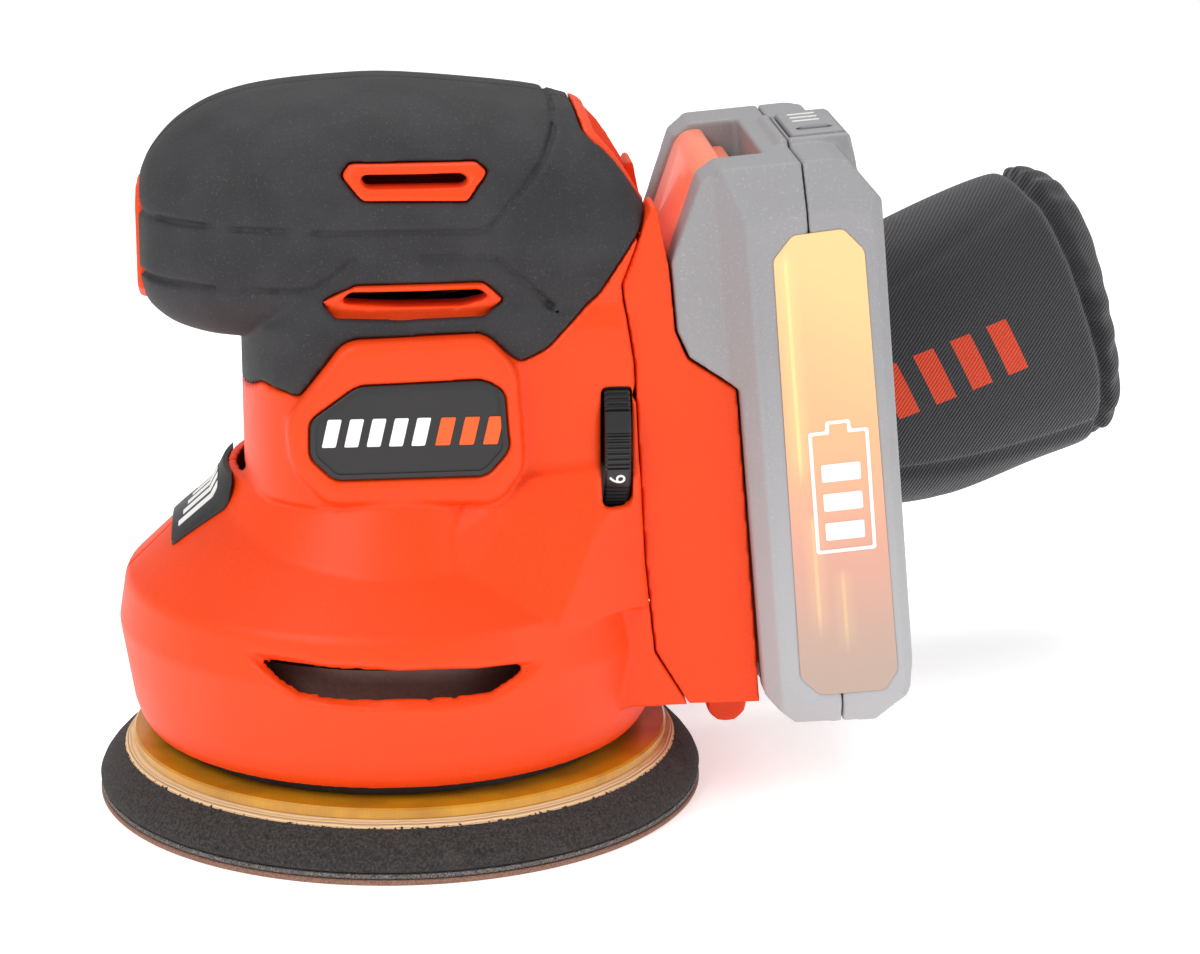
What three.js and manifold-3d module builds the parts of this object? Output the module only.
// Cordless random orbital sander: an eccentric pad under a brushed motor, a palm grip, a slide-on
// battery and a dust bag. Millimetres, +Z up, +X towards the battery. The origin is the centre of
// the sanding face, on the axis of the pad.
import * as THREE from "three";
import { ConvexGeometry } from "three/addons/geometries/ConvexGeometry.js";
import { LoftGeometry } from "three/addons/geometries/LoftGeometry.js";
import { mergeVertices } from "three/addons/utils/BufferGeometryUtils.js";
import Module from "manifold-3d";

const wasm = await Module();
wasm.setup();

// Driving dimensions
const PAD_RADIUS = 62.5;
const ORBIT = 1.25;
const GAP = 0.3;
const WALL = 2.5;
const COVER = 2.4;
const ROUND = 24;
const FINE = 14;

// Motor axis, offset from the pad axis by the orbit radius
const MOTOR_X = -ORBIT;

const MATERIALS = {
  orange: { color: 0xf9551a, roughness: 0.42, metalness: 0 },
  soft_black: { color: 0x3a393b, roughness: 0.85, metalness: 0 },
  hard_black: { color: 0x222224, roughness: 0.5, metalness: 0 },
  steel: { color: 0xb9bcc0, roughness: 0.3, metalness: 1 },
  iron: { color: 0x6f7072, roughness: 0.5, metalness: 0.8 },
  copper: { color: 0xb5713b, roughness: 0.35, metalness: 1 },
  zinc: { color: 0xa3a6a8, roughness: 0.4, metalness: 0.9 },
  fan_grey: { color: 0x6b5f58, roughness: 0.6, metalness: 0 },
  amber: { color: 0xc8961e, roughness: 0.2, metalness: 0 },
  foam: { color: 0x2b2a29, roughness: 0.95, metalness: 0 },
  velour: { color: 0x8d8a88, roughness: 1, metalness: 0 },
  abrasive: { color: 0x8c3b2a, roughness: 1, metalness: 0 },
  battery_grey: { color: 0x9c9c9e, roughness: 0.5, metalness: 0 },
  peach: { color: 0xff8a5c, roughness: 0.4, metalness: 0 },
  label_orange: { color: 0xf5a04a, roughness: 0.35, metalness: 0 },
  cell_blue: { color: 0x3c6fa5, roughness: 0.35, metalness: 0 },
  board_green: { color: 0x1f5b3a, roughness: 0.4, metalness: 0 },
  twill: { color: 0x2e2f33, roughness: 0.95, metalness: 0 },
};

const sander = new THREE.Group();

// Solids

function solid(geometry) {
  const bare = new THREE.BufferGeometry();
  bare.setAttribute("position", geometry.getAttribute("position"));
  bare.setIndex(geometry.index);
  const merged = mergeVertices(bare, 1e-4);
  const mesh = new wasm.Mesh({
    numProp: 3,
    vertProperties: merged.attributes.position.array,
    triVerts: new Uint32Array(merged.index.array),
  });
  return new wasm.Manifold(mesh);
}

function geometryOf(manifold) {
  const mesh = manifold.getMesh();
  const geometry = new THREE.BufferGeometry();
  geometry.setAttribute("position", new THREE.BufferAttribute(mesh.vertProperties, 3));
  geometry.setIndex(new THREE.BufferAttribute(mesh.triVerts, 1));
  geometry.computeVertexNormals();
  return geometry;
}

function joined(...solids) {
  return solids.reduce((whole, piece) => whole.add(piece));
}

function outline(points) {
  return new THREE.Shape(points.map(([a, b]) => new THREE.Vector2(a, b)));
}

function extruded(shape, depth) {
  return new THREE.ExtrudeGeometry(shape, { depth, bevelEnabled: false, curveSegments: 6 });
}

// A prism whose outline lies in X and Y
function planPrism(points, low, high) {
  return solid(extruded(outline(points), high - low).translate(0, 0, low));
}

// A prism whose outline lies in X and Z
function sidePrism(points, low, high) {
  return solid(extruded(outline(points), high - low).rotateX(Math.PI / 2).translate(0, high, 0));
}

// A prism whose outline lies in Y and Z
function frontPrism(points, low, high) {
  const turn = new THREE.Matrix4().makeBasis(
    new THREE.Vector3(0, 1, 0),
    new THREE.Vector3(0, 0, 1),
    new THREE.Vector3(1, 0, 0),
  );
  return solid(extruded(outline(points), high - low).applyMatrix4(turn).translate(low, 0, 0));
}

function block(low, high) {
  const size = high.map((value, i) => value - low[i]);
  const middle = high.map((value, i) => (value + low[i]) / 2);
  return solid(new THREE.BoxGeometry(...size).translate(...middle));
}

// An upright cylinder
function disc(x, y, radius, low, high, sides = ROUND) {
  const geometry = new THREE.CylinderGeometry(radius, radius, high - low, sides);
  return solid(geometry.rotateX(Math.PI / 2).translate(x, y, (low + high) / 2));
}

// A cylinder along X
function rodX(y, z, radius, low, high, sides = ROUND) {
  const geometry = new THREE.CylinderGeometry(radius, radius, high - low, sides);
  return solid(geometry.rotateZ(Math.PI / 2).translate((low + high) / 2, y, z));
}

// A cylinder along Y
function rodY(x, z, radius, low, high, sides = ROUND) {
  const geometry = new THREE.CylinderGeometry(radius, radius, high - low, sides);
  return solid(geometry.translate(x, (low + high) / 2, z));
}

// A turned solid about an upright axis; the profile is radius and height, and closes on itself
function turned(x, y, profile, sides = ROUND) {
  const points = [...profile, profile[0]].map(([r, z]) => new THREE.Vector2(r, z));
  return solid(new THREE.LatheGeometry(points, sides).rotateX(Math.PI / 2).translate(x, y, 0));
}

// A ring about an upright axis
function ring(x, y, inner, outer, low, high, sides = ROUND) {
  return disc(x, y, outer, low, high, sides).subtract(
    disc(x, y, inner, low - 1, high + 1, sides),
  );
}

function power(value, exponent) {
  return Math.sign(value) * Math.abs(value) ** exponent;
}

// Points round a superellipse: calls place(across, up) with values from -1 to 1
function superellipse(exponent, count, place) {
  return Array.from({ length: count }, (_, i) => {
    const angle = (i / count) * 2 * Math.PI;
    return place(power(Math.cos(angle), 2 / exponent), power(Math.sin(angle), 2 / exponent));
  });
}

function loft(sections) {
  return solid(new LoftGeometry(sections, { capStart: true, capEnd: true }));
}

// Solids spaced evenly round a circle; turn is a share of the spacing
function onCircle(count, radius, turn, make) {
  return Array.from({ length: count }, (_, i) => {
    const angle = ((i + turn) / count) * 2 * Math.PI;
    return make(radius * Math.cos(angle), radius * Math.sin(angle));
  });
}

// The half of a solid on one side of the centre plane; side is -1 for left and 1 for right
function halfOf(whole, side) {
  const low = [-200, side < 0 ? -200 : GAP / 2, -50];
  const high = [300, side < 0 ? -GAP / 2 : 200, 300];
  return whole.intersect(block(low, high));
}

// The largest body of a solid, without the slivers that a cut can leave
function largest(whole) {
  const bodies = whole.decompose();
  return bodies.reduce((most, body) => (body.volume() > most.volume() ? body : most));
}

function addPiece(name, material, made, group = sander) {
  const geometry = made.isBufferGeometry ? made : geometryOf(made);
  const mesh = new THREE.Mesh(geometry, new THREE.MeshStandardMaterial(MATERIALS[material]));
  mesh.name = name;
  group.add(mesh);
}

// Skirt and cone at the foot of the shells: rings of height and radius about the skirt's axis
const SKIRT_X = -1;
const SKIRT_RINGS = [
  [16, 51.5],
  [18, 52.8],
  [21.3, 53.9],
  [37.5, 56.4],
  [46, 55],
  [47.5, 54.3],
  [57.3, 44],
  [69.5, 30],
];

// Steeper shoulders on both sides of the cone: height, half depth and half width
const SHOULDER_RINGS = [
  [48, 40, 46],
  [57.3, 39.6, 44.5],
  [69.5, 33.2, 38.4],
];

function ringLoft(rings, grow, bottom, top) {
  const last = rings.length - 1;
  const sections = rings.map(([z, deep, wide], i) => {
    const height = i === 0 ? z + bottom : i === last ? z + top : z;
    const place = (a, b) =>
      new THREE.Vector3(SKIRT_X + (deep + grow) * a, (wide + grow) * b, height);
    return superellipse(2, ROUND + 8, place);
  });
  return loft(sections);
}

function skirtForm(grow, bottom = 0, top = 0) {
  const cone = SKIRT_RINGS.map(([z, radius]) => [z, radius, radius]);
  return ringLoft(cone, grow, bottom, top).add(ringLoft(SHOULDER_RINGS, grow, 0, top));
}

// Flare between the cone and the spine on one side: a light sloping facet over an upright wall
const FLARE = [
  [29.5, 46.2, 45.8],
  [49, 32.2, 45.8],
  [37, 40, 62.5],
  [26.5, 35.6, 74.2],
  [14.6, 42.5, 58.6],
  [49, 31.6, 76],
  [0, 42, 57.5],
  [10, 35, 69.5],
  [20, 34, 74],
  [20, 20, 45.8],
  [49, 20, 45.8],
  [24, 20, 74],
  [49, 20, 76],
];

function flareForm(side, shrink) {
  const points = FLARE.map(([x, y, z]) => new THREE.Vector3(x, side * (y - shrink), z));
  return solid(new ConvexGeometry(points));
}

// Vent in each side of the skirt, outline in X and Z
const SKIRT_VENT = [
  [-28.1, 42],
  [-20.8, 36],
  [16.2, 35.4],
  [24.3, 40.4],
  [13.5, 40.6],
  [-1.5, 41],
  [-14.5, 41.5],
];

const PORT_START = new THREE.Vector3(28, 48, 40);
const PORT_YAW = THREE.MathUtils.degToRad(20);
const PORT_RISE = THREE.MathUtils.degToRad(15.5);
const PORT_RADIUS = 16;

// Frame of the dust outlet: local Z runs out along the bag, local X to its far side, local Y up
function portFrame() {
  const along = new THREE.Vector3(
    Math.cos(PORT_RISE) * Math.cos(PORT_YAW),
    Math.cos(PORT_RISE) * Math.sin(PORT_YAW),
    Math.sin(PORT_RISE),
  );
  const across = new THREE.Vector3(0, 0, 1).cross(along).normalize();
  const up = along.clone().cross(across);
  return new THREE.Matrix4().makeBasis(across, up, along).setPosition(PORT_START);
}

function alongPort(manifold) {
  return solid(geometryOf(manifold).applyMatrix4(portFrame()));
}

function dustOutlet() {
  return alongPort(disc(0, 0, PORT_RADIUS + GAP, -30, 30, 24));
}

// Grip: stations of x, top, bottom and half width
const GRIP_STATIONS = [
  [-50.3, 129, 106.5, 13],
  [-45, 137.4, 101, 23.5],
  [-41, 140.6, 99.3, 26.8],
  [-34.9, 143.7, 98, 30],
  [-26, 146, 97.5, 32.3],
  [-12, 147.4, 97.5, 33.8],
  [2, 147.6, 97.5, 34],
  [26, 145.2, 97.5, 33.6],
  [34, 143.2, 97.5, 33.1],
  [38, 141.8, 97.5, 32.8],
  [43, 137.1, 97.5, 32.3],
  [50, 124.8, 97.5, 31.3],
  [52.2, 120, 97.5, 31],
];
const GRIP_MIDDLE = 116;
const GRIP_EXPONENT = 2.6;

const GRIP_HALF_LENGTH = 51;
const LEAST_REACH = 2;

function gripForm(grow) {
  const stretch = 1 + grow / GRIP_HALF_LENGTH;
  const sections = GRIP_STATIONS.map(([x, top, bottom, half]) =>
    superellipse(GRIP_EXPONENT, ROUND, (a, b) => {
      const reach = b > 0 ? top - GRIP_MIDDLE : GRIP_MIDDLE - bottom;
      const high = Math.max(reach + grow, LEAST_REACH);
      return new THREE.Vector3(x * stretch, (half + grow) * a, GRIP_MIDDLE + high * b);
    }),
  );
  return loft(sections);
}

// Seam between the spine and the battery holder, from the top down, in X and Z
const SEAM = [
  [53, 128],
  [49, 126.2],
  [43.4, 111],
  [45.9, 95.7],
  [48.2, 54.7],
  [50.3, 35.6],
  [57.1, 24.4],
];

function behindSeam(shift) {
  const line = SEAM.map(([x, z]) => [x + shift, z]);
  return sidePrism([...line, [60, 10], [150, 10], [150, 128]], -60, 60);
}

// Neck and spine: straight tapering sides and a rounded front
const NECK_BASE = 69;
const NECK_SHOULDER = 103;
const NECK_TOP = 113;
const NECK_TAPER = 3.5;
const NECK_HALF = 36;
const NECK_NOSE_X = -12;
const NECK_NOSE = 19;
const SPINE_FRONT = 30;
const SPINE_BOTTOM = 24.4;

function neckPlan(shrink) {
  const steps = 12;
  const nose = Array.from({ length: steps + 1 }, (_, i) => {
    const angle = (i / steps - 0.5) * Math.PI;
    return [
      NECK_NOSE_X - (NECK_NOSE - shrink) * power(Math.cos(angle), 0.8),
      (NECK_HALF - shrink) * power(Math.sin(angle), 0.8),
    ];
  });
  const far = [
    [14, NECK_HALF - shrink],
    [30, 33.6 - shrink],
    [62, 30.5 - shrink],
  ];
  const near = far.map(([x, y]) => [x, -y]).reverse();
  return [...near, ...nose, ...far];
}

function neckForm(shrink) {
  const plan = neckPlan(shrink);
  const section = (taper, z) =>
    neckPlan(shrink + taper)
      .reverse()
      .map(([x, y]) => new THREE.Vector3(x, y, z));
  const shoulder = loft([section(0, NECK_SHOULDER), section(NECK_TAPER, NECK_TOP)]);
  const neck = planPrism(plan, NECK_BASE, NECK_SHOULDER).add(shoulder);
  const behind = block([SPINE_FRONT, -60, SPINE_BOTTOM], [62, 60, NECK_BASE + 1]);
  const spine = planPrism(plan, SPINE_BOTTOM, NECK_BASE + 1).intersect(behind);
  return neck.add(spine);
}

// Raised octagon on each side of the neck
const FRAME_OCTAGON = [
  [-21.7, 77.5],
  [-14.7, 69.7],
  [18.9, 69.4],
  [24, 76.4],
  [22.6, 96.4],
  [16.6, 103],
  [-10.6, 102.1],
  [-22.6, 86.5],
];
const BADGE_OCTAGON = [
  [-18.2, 79.5],
  [-13.3, 74.6],
  [16.5, 74.9],
  [21.2, 80.2],
  [20.3, 92.2],
  [16.2, 94.7],
  [-8.5, 93.9],
  [-18, 87.1],
];
const FRAME_OUT = 39;
const BADGE_OUT = 38.7;
const BADGE_FLOOR = 37;

// Lower edge of the soft cover on the side, front to rear, then up round the whole grip
const COVER_EDGE = [
  [-60, 88],
  [-31, 88],
  [-26.7, 92.2],
  [-19.4, 90.9],
  [-16.3, 92.4],
  [-10.6, 101.4],
  [16, 102.3],
  [23.4, 97],
  [28.2, 99.1],
  [38.9, 109.8],
  [46.6, 121.5],
  [48.8, 126],
  [38, 142.4],
  [35.5, 150],
  [-60, 150],
];

function coverRegion(shiftX, shiftZ) {
  const points = COVER_EDGE.map(([x, z]) => [x + shiftX, z + shiftZ]);
  return sidePrism(points, -60, 60);
}

// Side vents of the grip: outer rim and hole, in X and Z
const UPPER_RIM = [
  [-10.6, 133.4],
  [-6.7, 128.8],
  [13.4, 128.4],
  [17.4, 133.6],
  [15.3, 135.4],
  [-8.9, 135.4],
];
const UPPER_HOLE = [
  [-7.8, 133.6],
  [-5.9, 131],
  [12.9, 131],
  [14.8, 133.5],
];
const LOWER_RIM = [
  [-14.8, 109.2],
  [-12.3, 106.4],
  [0.2, 105.8],
  [16.5, 106.3],
  [20.2, 109],
  [16.4, 112.5],
  [-8.3, 112.3],
];
const LOWER_HOLE = [
  [-12.3, 108.8],
  [0.2, 107.9],
  [12, 107.9],
  [18, 109.5],
  [15.6, 111.3],
  [-9.1, 111.2],
];
const NOSE_RIM = [
  [-11.5, 108],
  [-6, 105],
  [6, 105],
  [11.5, 108],
  [11.5, 125],
  [6, 128],
  [-6, 128],
  [-11.5, 125],
];
const NOSE_HOLE_HALF = 8;
const NOSE_HOLE_LOW = 108.5;
const NOSE_HOLE_HIGH = 124.5;
const RIM_RISE = 0.7;

// An outline with every point moved outwards from the middle, along both axes
function grown(points, grow) {
  const middle = [0, 1].map((axis) => {
    const values = points.map((point) => point[axis]);
    return (Math.min(...values) + Math.max(...values)) / 2;
  });
  return points.map((point) =>
    point.map((value, axis) => value + grow * Math.sign(value - middle[axis])),
  );
}

function rimColumns(grow) {
  return joined(
    sidePrism(grown(UPPER_RIM, grow), -60, 60),
    sidePrism(grown(LOWER_RIM, grow), -60, 60),
    frontPrism(grown(NOSE_RIM, grow), -60, -40),
  );
}

function frameForm(grow) {
  return sidePrism(grown(FRAME_OCTAGON, grow), -FRAME_OUT, FRAME_OUT);
}

// Finger scoop in the slope behind the grip, above the battery's release button
const SCOOP_HALF = 19;

function rearScoop(grow) {
  const points = [
    [36 - grow, 150],
    [40 - grow, 136],
    [49 - grow, 119],
    [60, 119],
    [60, 150],
  ];
  return sidePrism(points, -SCOOP_HALF - grow, SCOOP_HALF + grow);
}

// Slot for the speed dial in the left side
const DIAL_LOW_X = 39.9;
const DIAL_HIGH_X = 45;
const DIAL_RADIUS = 17;
const DIAL_Z = 79.2;
const DIAL_Y = -18.6;

function dialSlot() {
  const slot = block([DIAL_LOW_X - 0.7, -60, 67.4], [DIAL_HIGH_X + 0.5, -20, 91]);
  const well = rodX(DIAL_Y, DIAL_Z, DIAL_RADIUS + 0.6, DIAL_LOW_X - 0.7, DIAL_HIGH_X + 0.5);
  return slot.add(well.intersect(block([0, -31, 0], [60, 0, 120])));
}

// Screws that join the shells, driven from the far side into bosses
const SHELL_SCREWS = [
  [-24, 122],
  [27, 124],
  [36, 103.5],
];
const SCREW_SEAT = 27.5;

function shellBosses() {
  return joined(...SHELL_SCREWS.map(([x, z]) => rodY(x, z, 4, -30.5, 30.5, FINE - 4)));
}

function screwWells() {
  return joined(
    ...SHELL_SCREWS.map(([x, z]) =>
      rodY(x, z, 3.6, SCREW_SEAT, 60, FINE - 4).add(rodY(x, z, 1.9, -20, 30, FINE - 4)),
    ),
  );
}

function addShellScrews() {
  SHELL_SCREWS.forEach(([x, z], i) => {
    const shank = rodY(x, z, 1.6, -16, SCREW_SEAT + 1, FINE - 4);
    const head = rodY(x, z, 3.3, SCREW_SEAT + GAP, SCREW_SEAT + 2.5, FINE - 4);
    addPiece(`shell_screw_${i + 1}`, "steel", shank.add(head));
  });
}

function shellCavity() {
  const neck = neckForm(WALL).intersect(block([-60, -60, 26.9], [43.4, 60, 90]));
  const collar = neckForm(WALL + COVER).intersect(block([-60, -60, 88], [43.4, 60, 106]));
  const grip = gripForm(-WALL - COVER).intersect(block([-60, -60, 90], [36, 60, 160]));
  const flares = joined(flareForm(-1, WALL), flareForm(1, WALL));
  const inFront = block([-60, -60, 0], [44, 60, 120]);
  const skirt = skirtForm(-WALL, -1, 1).add(flares.intersect(inFront));
  return joined(neck, collar, grip, skirt);
}

function outerForm() {
  const whole = joined(gripForm(0), neckForm(0), skirtForm(0), flareForm(-1, 0), flareForm(1, 0));
  return whole.subtract(behindSeam(-GAP / 2));
}

function coverCore(shrink) {
  return gripForm(-shrink).add(neckForm(shrink));
}

function shellWhole() {
  const outside = outerForm();
  const covers = joined(coverRegion(-GAP, 0), coverRegion(GAP, 0), coverRegion(0, -GAP));
  const core = coverCore(COVER + GAP).intersect(outside);
  const rims = rimColumns(0).intersect(gripForm(RIM_RISE)).subtract(gripForm(-COVER - 1));
  const badges = joined(
    sidePrism(BADGE_OCTAGON, -60, -BADGE_FLOOR),
    sidePrism(BADGE_OCTAGON, BADGE_FLOOR, 60),
  );
  const holes = joined(
    sidePrism(UPPER_HOLE, -60, 60),
    sidePrism(LOWER_HOLE, -60, 60),
    block([-60, -NOSE_HOLE_HALF, NOSE_HOLE_LOW], [-40, NOSE_HOLE_HALF, NOSE_HOLE_HIGH]),
  );
  return outside
    .subtract(covers)
    .add(core)
    .add(frameForm(0))
    .subtract(shellCavity())
    .add(shellBosses().intersect(coverCore(COVER + GAP)))
    .subtract(screwWells())
    .add(rims)
    .subtract(rearScoop(0))
    .subtract(badges)
    .subtract(holes)
    .subtract(dialSlot())
    .subtract(sidePrism(SKIRT_VENT, -80, 80))
    .subtract(dustOutlet());
}

function addShells() {
  const whole = shellWhole();
  addPiece("shell_left", "orange", largest(halfOf(whole, -1)));
  addPiece("shell_right", "orange", largest(halfOf(whole, 1)));
}

function addGripCovers() {
  const whole = outerForm()
    .intersect(coverRegion(0, 0))
    .subtract(coverCore(COVER))
    .subtract(rimColumns(GAP))
    .subtract(frameForm(GAP))
    .subtract(screwWells())
    .subtract(rearScoop(1.5));
  addPiece("grip_cover_left", "soft_black", largest(halfOf(whole, -1)));
  addPiece("grip_cover_right", "soft_black", largest(halfOf(whole, 1)));
}

// Badges, label and switch

function addBadges() {
  const face = grown(BADGE_OCTAGON, -GAP);
  addPiece("badge_left", "soft_black", sidePrism(face, -BADGE_OUT, -BADGE_FLOOR - GAP));
  addPiece("badge_right", "soft_black", sidePrism(face, BADGE_FLOOR + GAP, BADGE_OUT));
}

// Tapered rubber panel on the front slope of the cone
const LABEL_THICK = 1;

function addFrontLabel() {
  const panel = planPrism(
    [
      [-32.5, -15.5],
      [-32.5, 15.5],
      [-45.5, 12.5],
      [-45.5, -12.5],
    ],
    50,
    70,
  );
  const skin = skirtForm(GAP + LABEL_THICK).subtract(skirtForm(GAP));
  addPiece("front_label", "soft_black", panel.intersect(skin));
}

// The rocker rests tipped to its off side; its pivot is in X and Z
const ROCKER_PIVOT = [-47, 116.5];
const ROCKER_TILT = 8;

function addSwitch() {
  const paddle = [
    [-49.4, 109.5],
    [-48.6, 116.5],
    [-49.4, 123.5],
    [-46.4, 123.5],
    [-44.6, 116.5],
    [-46.4, 109.5],
  ];
  const rocker = sidePrism(paddle, -7.5, 7.5)
    .translate([-ROCKER_PIVOT[0], 0, -ROCKER_PIVOT[1]])
    .rotate([0, ROCKER_TILT, 0])
    .translate([ROCKER_PIVOT[0], 0, ROCKER_PIVOT[1]]);
  addPiece("switch_rocker", "hard_black", rocker);
  addPiece("switch_body", "hard_black", block([-43.5, -7, 109.5], [-31, 7, 123.5]));
}

// Speed dial and electronics

function dialOutline() {
  const ribs = 24;
  return Array.from({ length: ribs * 2 }, (_, i) => {
    const angle = (i / (ribs * 2)) * 2 * Math.PI;
    const radius = i % 2 ? DIAL_RADIUS - 0.6 : DIAL_RADIUS;
    return [DIAL_Y + radius * Math.cos(angle), DIAL_Z + radius * Math.sin(angle)];
  });
}

function addElectronics() {
  addPiece("dial_wheel", "hard_black", frontPrism(dialOutline(), DIAL_LOW_X, DIAL_HIGH_X));
  const shaft = rodX(DIAL_Y, DIAL_Z, 3, DIAL_LOW_X - 3, DIAL_LOW_X - GAP, FINE);
  const body = rodX(DIAL_Y, DIAL_Z, 8, 27.5, DIAL_LOW_X - 3, FINE + 8);
  addPiece("speed_potentiometer", "hard_black", body.add(shaft));
  addPiece("control_board", "board_green", block([25.4, -28.5, 70], [27, 28.5, 104]));
}

// Motor, on its own axis
const CAN_RADIUS = 20.8;
const CAN_WALL = 1.6;
const CAN_BOTTOM = 56;
const CAN_TOP = 104;
const SHAFT_RADIUS = 2.5;
const SHAFT_BORE = SHAFT_RADIUS + GAP;
const MOUNT_RADIUS = 47;
const MOUNT_BOTTOM = 46;
const MOUNT_TOP = 48.4;
const AIRWAYS = 6;
const AIRWAY_CIRCLE = 31;
const AIRWAY_RADIUS = 7;

function addMotorBody() {
  const can = [
    [6, CAN_BOTTOM],
    [CAN_RADIUS, CAN_BOTTOM],
    [CAN_RADIUS, CAN_TOP],
    [CAN_RADIUS - 1.4, CAN_TOP],
    [CAN_RADIUS - 1.4, CAN_BOTTOM + CAN_WALL],
    [6, CAN_BOTTOM + CAN_WALL],
  ];
  addPiece("motor_can", "zinc", turned(MOTOR_X, 0, can));
  const cap = [
    [8.3, CAN_TOP + GAP],
    [CAN_RADIUS, CAN_TOP + GAP],
    [CAN_RADIUS, 107],
    [11, 107],
    [11, 113.5],
    [8.3, 113.5],
  ];
  addPiece("motor_end_cap", "hard_black", turned(MOTOR_X, 0, cap));
}

// The plate under the motor holds the lower bearing and lets the cooling air through
function addMotorMount() {
  const mount = [
    [3.5, MOUNT_BOTTOM],
    [MOUNT_RADIUS, MOUNT_BOTTOM],
    [MOUNT_RADIUS, MOUNT_TOP],
    [14, MOUNT_TOP],
    [14, 55.6],
    [11.3, 55.6],
    [11.3, MOUNT_TOP],
    [3.5, MOUNT_TOP],
  ];
  const airways = onCircle(AIRWAYS, AIRWAY_CIRCLE, 0, (x, y) =>
    disc(MOTOR_X + x, y, AIRWAY_RADIUS, 40, 50, FINE - 4),
  );
  addPiece("motor_mount", "hard_black", turned(MOTOR_X, 0, mount).subtract(joined(...airways)));
}

function addMotorBearings() {
  addPiece("lower_bearing", "steel", ring(MOTOR_X, 0, SHAFT_BORE, 11, 48.7, 55.4, FINE + 8));
  addPiece("upper_bearing", "steel", ring(MOTOR_X, 0, SHAFT_BORE, 8, 106, 112.5, FINE + 8));
  addPiece("motor_shaft", "steel", disc(MOTOR_X, 0, SHAFT_RADIUS, 26.8, 116, FINE));
}

function addMagnets() {
  const sleeve = ring(MOTOR_X, 0, 17.7, 19.1, 62, 94);
  const left = block([-60, -60, 50], [60, -5, 100]);
  const right = block([-60, 5, 50], [60, 60, 100]);
  addPiece("magnet_left", "iron", sleeve.intersect(left));
  addPiece("magnet_right", "iron", sleeve.intersect(right));
}

const BRUSH_HALF = 2.5;

function addBrushes() {
  const left = block([MOTOR_X - BRUSH_HALF, -14, 96], [MOTOR_X + BRUSH_HALF, -5.9, 101]);
  const right = block([MOTOR_X - BRUSH_HALF, 5.9, 96], [MOTOR_X + BRUSH_HALF, 14, 101]);
  addPiece("brush_left", "iron", left);
  addPiece("brush_right", "iron", right);
}

// Rotor: armature, commutator, fan and the eccentric counterweight
const POLES = 5;
const BLADES_OF_FAN = 12;
const FAN_RADIUS = 46;
const FAN_RIM = 2.4;

// Copies of a solid turned evenly about the motor axis
function aboutMotor(count, made) {
  return Array.from({ length: count }, (_, i) =>
    made.rotate([0, 0, (i * 360) / count]).translate([MOTOR_X, 0, 0]),
  );
}

function addArmature() {
  const slot = solid(new THREE.BoxGeometry(10, 2.4, 40).translate(13, 0, 78));
  const core = ring(MOTOR_X, 0, SHAFT_BORE, 17.3, 63, 93, FINE + 9);
  addPiece("armature", "copper", core.subtract(joined(...aboutMotor(POLES, slot))));
  addPiece("commutator", "copper", ring(MOTOR_X, 0, SHAFT_BORE, 5.6, 94.5, 103.5, FINE));
}

function addFan() {
  const blade = solid(new THREE.BoxGeometry(22, 1.6, 10).translate(34, 0, 37.7));
  const plate = ring(MOTOR_X, 0, SHAFT_BORE, FAN_RADIUS, 31.3, 33.2);
  const rim = ring(MOTOR_X, 0, FAN_RADIUS - FAN_RIM, FAN_RADIUS, 41, 43);
  addPiece("fan", "fan_grey", joined(plate, rim, ...aboutMotor(BLADES_OF_FAN, blade)));
}

function addCounterweight() {
  const hub = disc(MOTOR_X, 0, 14, 18.5, 31, FINE + 8);
  const lobe = disc(MOTOR_X, 0, 30, 27, 31).intersect(block([-60, -24, 20], [-6, 24, 40]));
  const seat = disc(0, 0, 11.3, 10, 26.3, FINE + 8);
  const bore = disc(MOTOR_X, 0, SHAFT_BORE, 20, 40, FINE);
  addPiece("counterweight", "zinc", hub.add(lobe).subtract(seat).subtract(bore));
  addPiece("pad_bearing", "steel", ring(0, 0, 4.3, 11, 19, 26, FINE + 8));
}

// Pad: sanding disc, hook layer, foam and backing plate, bolted to a spindle
const DUST_HOLES = 8;
const DUST_HOLE_RADIUS = 4.7;
const DUST_HOLE_CIRCLE = 32.5;
const PAD_SCREWS = 4;
const SCREW_CIRCLE = 10.5;
const SCREW_HEAD = 3.3;
const SCREW_SHANK = 2;

function dustHoles() {
  const make = (x, y) => disc(x, y, DUST_HOLE_RADIUS, -5, 20, FINE - 4);
  return joined(...onCircle(DUST_HOLES, DUST_HOLE_CIRCLE, 0.5, make));
}

function screwHoles(radius) {
  const make = (x, y) => disc(x, y, radius, -5, 15.8, FINE - 4);
  return joined(...onCircle(PAD_SCREWS, SCREW_CIRCLE, 0.5, make));
}

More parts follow.
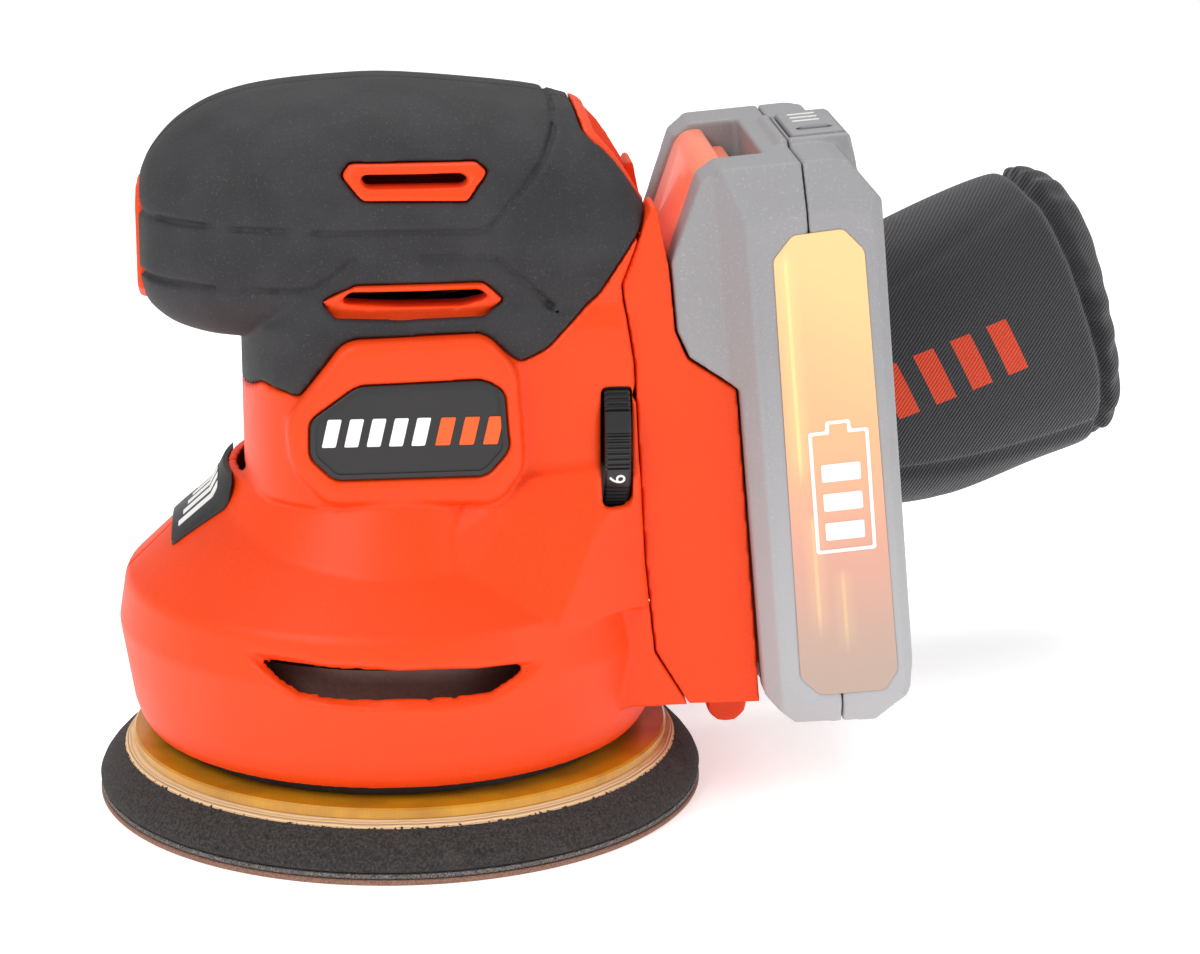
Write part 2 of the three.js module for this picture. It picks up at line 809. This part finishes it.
function addPad() {
  const holes = dustHoles();
  const paper = disc(0, 0, PAD_RADIUS, 0, 1, ROUND + 16).subtract(holes);
  addPiece("sanding_disc", "abrasive", paper);
  const recesses = holes.add(screwHoles(SCREW_HEAD + 0.6));
  const hooks = disc(0, 0, PAD_RADIUS - 0.2, 1.3, 2.2, ROUND + 16).subtract(recesses);
  addPiece("hook_layer", "velour", hooks);
  const side = [
    [0, 2.5],
    [62.4, 2.5],
    [61.8, 5],
    [59.5, 8],
    [56.6, 10.7],
    [0, 10.7],
  ];
  const points = side.map(([r, z]) => new THREE.Vector2(r, z));
  const bun = solid(new THREE.LatheGeometry(points, ROUND + 16).rotateX(Math.PI / 2));
  addPiece("foam_pad", "foam", bun.subtract(recesses));
  const plate = disc(0, 0, 55.4, 11, 13.2, ROUND + 16);
  addPiece("backing_plate", "amber", plate.subtract(holes).subtract(screwHoles(SCREW_SHANK + GAP)));

  const flange = disc(0, 0, 15, 13.5, 16.8, FINE + 8).add(disc(0, 0, 4, 16, 26, FINE));
  addPiece("pad_spindle", "steel", flange.subtract(screwHoles(SCREW_SHANK + GAP)));
  const screws = onCircle(PAD_SCREWS, SCREW_CIRCLE, 0.5, (x, y) =>
    disc(x, y, SCREW_HEAD, 8.4, 10.7, FINE - 4).add(disc(x, y, SCREW_SHANK, 10, 15.5, FINE - 4)),
  );
  screws.forEach((screw, i) => addPiece(`pad_screw_${i + 1}`, "steel", screw));

  const brake = [
    [45.5, 13.6],
    [48, 13.6],
    [48.6, 22],
    [46.6, 22],
  ];
  addPiece("brake_ring", "soft_black", turned(SKIRT_X, 0, brake, ROUND + 8));
}

// Battery frame: local Z runs up the slide, local X away from the tool
const BATTERY_TILT = THREE.MathUtils.degToRad(5);
const battery = new THREE.Group();
battery.position.set(72, 0, 25);
battery.rotation.y = -BATTERY_TILT;
sander.add(battery);

function inBatteryFrame(manifold) {
  battery.updateMatrix();
  return solid(geometryOf(manifold).applyMatrix4(battery.matrix));
}

const BATTERY_HALF = 37;
const BATTERY_SIDE = [
  [0.3, 2],
  [6, -4.8],
  [22.6, -6.4],
  [29.6, 0.4],
  [30.6, 6],
  [30.6, 100.5],
  [24.8, 108.4],
  [21.5, 109.3],
  [-0.3, 109.3],
  [-4, 107],
  [-10.9, 91],
  [-10.8, 77.5],
  [-8.8, 72],
  [0.3, 65],
];
const BATTERY_TOP = 109.3;
const BATTERY_SPLIT = 15.6;
const EDGE_CHAMFER = 4.5;

// The battery's outline seen from above: a narrower nose and chamfered long edges
function batteryPlan() {
  const y = BATTERY_HALF;
  const c = EDGE_CHAMFER * 0.6;
  const near = [
    [30.6, -y + c],
    [30.6 - c, -y],
    [3.6, -y],
    [-1.8, -y + 5.4],
    [-12, -y + 7.4],
  ];
  const far = near.map(([x, v]) => [x, -v]).reverse();
  return [...near, ...far];
}

// The battery seen from the front: its sides lean in above the labels
function batteryFront() {
  const y = BATTERY_HALF;
  return [
    [-y, -20],
    [y, -20],
    [y, 99],
    [y - 3.5, BATTERY_TOP],
    [y - 3.5, 120],
    [-y + 3.5, 120],
    [-y + 3.5, BATTERY_TOP],
    [-y, 99],
  ];
}

const BUTTON_HALF = 19.5;
const BUTTON_TRAVEL = 3;
const BUTTON = [
  [-10.4, 88.5],
  [-10.5, 91],
  [-3.8, 106.4],
  [-1.6, 108.2],
  [2.2, 108.2],
  [2.2, 104.2],
  [6.4, 104.2],
  [6.4, 100.5],
  [1.2, 100.5],
  [1.2, 88.5],
];
const BUTTON_POCKET = [
  [-14, 88.1],
  [4.6, 88.1],
  [4.6, 100.1],
  [9.6, 100.1],
  [9.6, 120],
  [-14, 120],
];
const SPRING_Z = 102.4;
const SPRING_START = 9.6;
const SPRING_LENGTH = 4.4;

const CELL_RADIUS = 9.1;
const CELL_HALF = 32.5;
const CELL_X = 16;
const CELL_PITCH = 19;
const CELL_FIRST = 12;
const CELLS = 5;

const LABEL_OUTLINE = [
  [7.2, 5.4],
  [11, 1.3],
  [24.4, 0.9],
  [27.4, 5],
  [26.4, 91.4],
  [22.4, 96.2],
  [12.2, 95.9],
  [8, 91.3],
];
const LABEL_DEPTH = 0.9;
const LABEL_SET_IN = 0.2;

const RAIL_HALF = 24;
const RAIL_WIDE = 4;
const RAIL_DEEP = 3;

function railForm(grow) {
  return joined(
    ...[-1, 1].map((side) =>
      block(
        [-1, side * RAIL_HALF - RAIL_WIDE / 2 - grow, 6 - grow],
        [RAIL_DEEP + grow, side * RAIL_HALF + RAIL_WIDE / 2 + grow, 58 + grow],
      ),
    ),
  );
}

// Contact blades stand on the holder's shoulder and enter slots in the battery's nose
const BLADES = [-12, -4, 4, 12];

function bladeForm(thick, deep, top) {
  return joined(
    ...BLADES.map((y) => block([-7 - deep, y - thick / 2, 55], [-4 + deep, y + thick / 2, top])),
  );
}

// Raised block on the battery's top, with a pocket for the fuel gauge
const GAUGE_BLOCK = [
  [12.5, 100],
  [29, 100],
  [29, 104],
  [28, 110.5],
  [13.5, 110.5],
  [12.5, 105],
];
const GAUGE_FLOOR = 109;

function addBatteryCase() {
  const form = sidePrism(BATTERY_SIDE, -BATTERY_HALF, BATTERY_HALF)
    .intersect(planPrism(batteryPlan(), -20, 130))
    .intersect(frontPrism(batteryFront(), -20, 40))
    .add(sidePrism(GAUGE_BLOCK, -15, 15));
  const cells = block([6.4, -33.5, 2], [27, 33.5, 98]);
  const labels = joined(
    sidePrism(LABEL_OUTLINE, -60, -BATTERY_HALF + LABEL_DEPTH),
    sidePrism(LABEL_OUTLINE, BATTERY_HALF - LABEL_DEPTH, 60),
  );
  const pocket = sidePrism(BUTTON_POCKET, -BUTTON_HALF - 0.5, BUTTON_HALF + 0.5);
  const springHole = rodX(0, SPRING_Z, 2, 9, SPRING_START + SPRING_LENGTH + GAP, FINE);
  const slots = bladeForm(2.4, 1, 85);
  const grooves = railForm(0.4).add(railForm(0.4).translate([0, 0, -20]));
  const gauge = block([16.4, -13, GAUGE_FLOOR], [27.4, 13, 115]);
  const whole = form
    .subtract(cells)
    .subtract(labels)
    .subtract(pocket)
    .subtract(springHole)
    .subtract(slots)
    .subtract(grooves)
    .subtract(gauge);
  const front = whole.intersect(block([-50, -60, -50], [BATTERY_SPLIT - GAP / 2, 60, 200]));
  const rear = whole.intersect(block([BATTERY_SPLIT + GAP / 2, -60, -50], [60, 60, 200]));
  addPiece("battery_case_front", "battery_grey", largest(front), battery);
  addPiece("battery_case_rear", "battery_grey", largest(rear), battery);
}

function addGauge() {
  const panel = block([16.7, -12.7, GAUGE_FLOOR + GAP], [27.1, 12.7, 110.9]);
  const well = joined(
    disc(18.9, -7.5, 1, 108, 112, FINE),
    disc(24.9, -7.5, 1, 108, 112, FINE),
    block([18.5, -8.8, 108], [25.3, -6.2, 112]),
  );
  addPiece("gauge_panel", "battery_grey", panel.subtract(well), battery);
  addPiece("gauge_button", "hard_black", block([18.9, -8.4, 109.7], [24.9, -6.6, 111.3]), battery);
}

function addBatteryParts() {
  addBatteryCase();
  const button = sidePrism(BUTTON, -BUTTON_HALF, BUTTON_HALF);
  addPiece("release_button", "peach", button, battery);
  const coil = Array.from({ length: 9 }, (_, i) => [i % 2 ? 1.6 : 1.1, 0.3 + i * 0.45]);
  const profile = [[0, 0], ...coil, [0, SPRING_LENGTH]].map(([r, z]) => new THREE.Vector2(r, z));
  const spring = new THREE.LatheGeometry(profile, FINE - 4).rotateX(Math.PI / 2);
  spring.rotateY(Math.PI / 2).translate(SPRING_START, 0, SPRING_Z);
  addPiece("latch_spring", "steel", spring, battery);
  const label = grown(LABEL_OUTLINE, -GAP);
  const face = BATTERY_HALF - LABEL_SET_IN;
  const back = BATTERY_HALF - LABEL_DEPTH + GAP;
  addPiece("battery_label_left", "label_orange", sidePrism(label, -face, -back), battery);
  addPiece("battery_label_right", "label_orange", sidePrism(label, back, face), battery);
  for (let i = 0; i < CELLS; i++) {
    const cell = rodY(CELL_X, CELL_FIRST + i * CELL_PITCH, CELL_RADIUS, -CELL_HALF, CELL_HALF, 20);
    addPiece(`battery_cell_${i + 1}`, "cell_blue", cell, battery);
  }
  addGauge();
}

// Battery holder: the rear block behind the seam, with rails and a lug
const HOLDER_HALF = 30.5;
const HOLDER_REAR = [
  [71.6, 24.4],
  [66.25, 89.3],
  [56.5, 95.6],
  [54, 101.3],
  [52.8, 113.5],
  [50.4, 126],
];

const HOLDER_ROOM = [
  [44, 106],
  [49.8, 106],
  [50.8, 100],
  [53.4, 92.6],
  [63.6, 84],
  [68.6, 27],
  [54, 27],
  [46.6, 46],
];
const LUG_HALF = 7;
const LUG_RADIUS = 4.2;
const LUG_X = 67.8;
const LUG_Z = 16.2;

function lugForm() {
  const tab = block([LUG_X - LUG_RADIUS, -LUG_HALF, LUG_Z], [LUG_X + LUG_RADIUS, LUG_HALF, 25]);
  return tab.add(rodY(LUG_X, LUG_Z, LUG_RADIUS, -LUG_HALF, LUG_HALF, FINE));
}

function addHolder() {
  const front = SEAM.slice(1).map(([x, z]) => [x + GAP / 2, z]);
  const outside = [...HOLDER_REAR.toReversed(), ...front.toReversed()];
  const side = sidePrism(outside, -HOLDER_HALF, HOLDER_HALF);
  const room = sidePrism(HOLDER_ROOM, -HOLDER_HALF + WALL, HOLDER_HALF - WALL);
  const cover = coverRegion(-GAP, 0).add(coverRegion(GAP, 0)).add(coverRegion(0, -GAP));
  const gripArea = cover.intersect(gripForm(GAP));
  const bladeRoom = inBatteryFrame(block([-8.4, -17, 40], [-2.6, 17, 75]));
  const rails = inBatteryFrame(railForm(0));
  const whole = side
    .subtract(room)
    .add(lugForm())
    .subtract(gripArea)
    .subtract(rearScoop(0))
    .subtract(bladeRoom)
    .add(rails)
    .subtract(skirtForm(GAP));
  addPiece("battery_holder", "orange", largest(whole));
}

function addTerminalBlock() {
  const base = block([-8, -16.6, 50], [-3, 16.6, 66]);
  addPiece("terminal_block", "hard_black", base.add(bladeForm(1.2, 0, 82)), battery);
}

// Dust outlet, collar and bag, along the outlet's axis
const BAG_PROFILE = [
  [38, 15, 15],
  [46, 17, 18.5],
  [58, 19, 24],
  [80, 21, 30],
  [105, 22.5, 34.5],
  [130, 23, 36],
  [141, 22.5, 35.5],
  [147, 20, 32],
  [149, 15, 25],
];

function addDustOutlet() {
  const port = alongPort(ring(0, 0, PORT_RADIUS - 2, PORT_RADIUS, -4, 34, 24));
  const clear = skirtForm(-WALL - GAP);
  addPiece("dust_port", "hard_black", largest(port.subtract(clear)));
  const collar = ring(0, 0, PORT_RADIUS + GAP, PORT_RADIUS + 2.4, 16, 37.7, 24);
  addPiece("bag_adapter", "hard_black", alongPort(collar));
  const sections = BAG_PROFILE.map(([along, across, up]) =>
    superellipse(2.6, ROUND - 8, (a, b) => new THREE.Vector3(across * a, up * b, along)),
  );
  addPiece("dust_bag", "twill", alongPort(loft(sections)));
}

addShells();
addShellScrews();
addGripCovers();
addBadges();
addFrontLabel();
addSwitch();
addElectronics();
addMotorBody();
addMotorMount();
addMotorBearings();
addMagnets();
addBrushes();
addArmature();
addFan();
addCounterweight();
addPad();
addHolder();
addTerminalBlock();
addBatteryParts();
addDustOutlet();

export default sander;
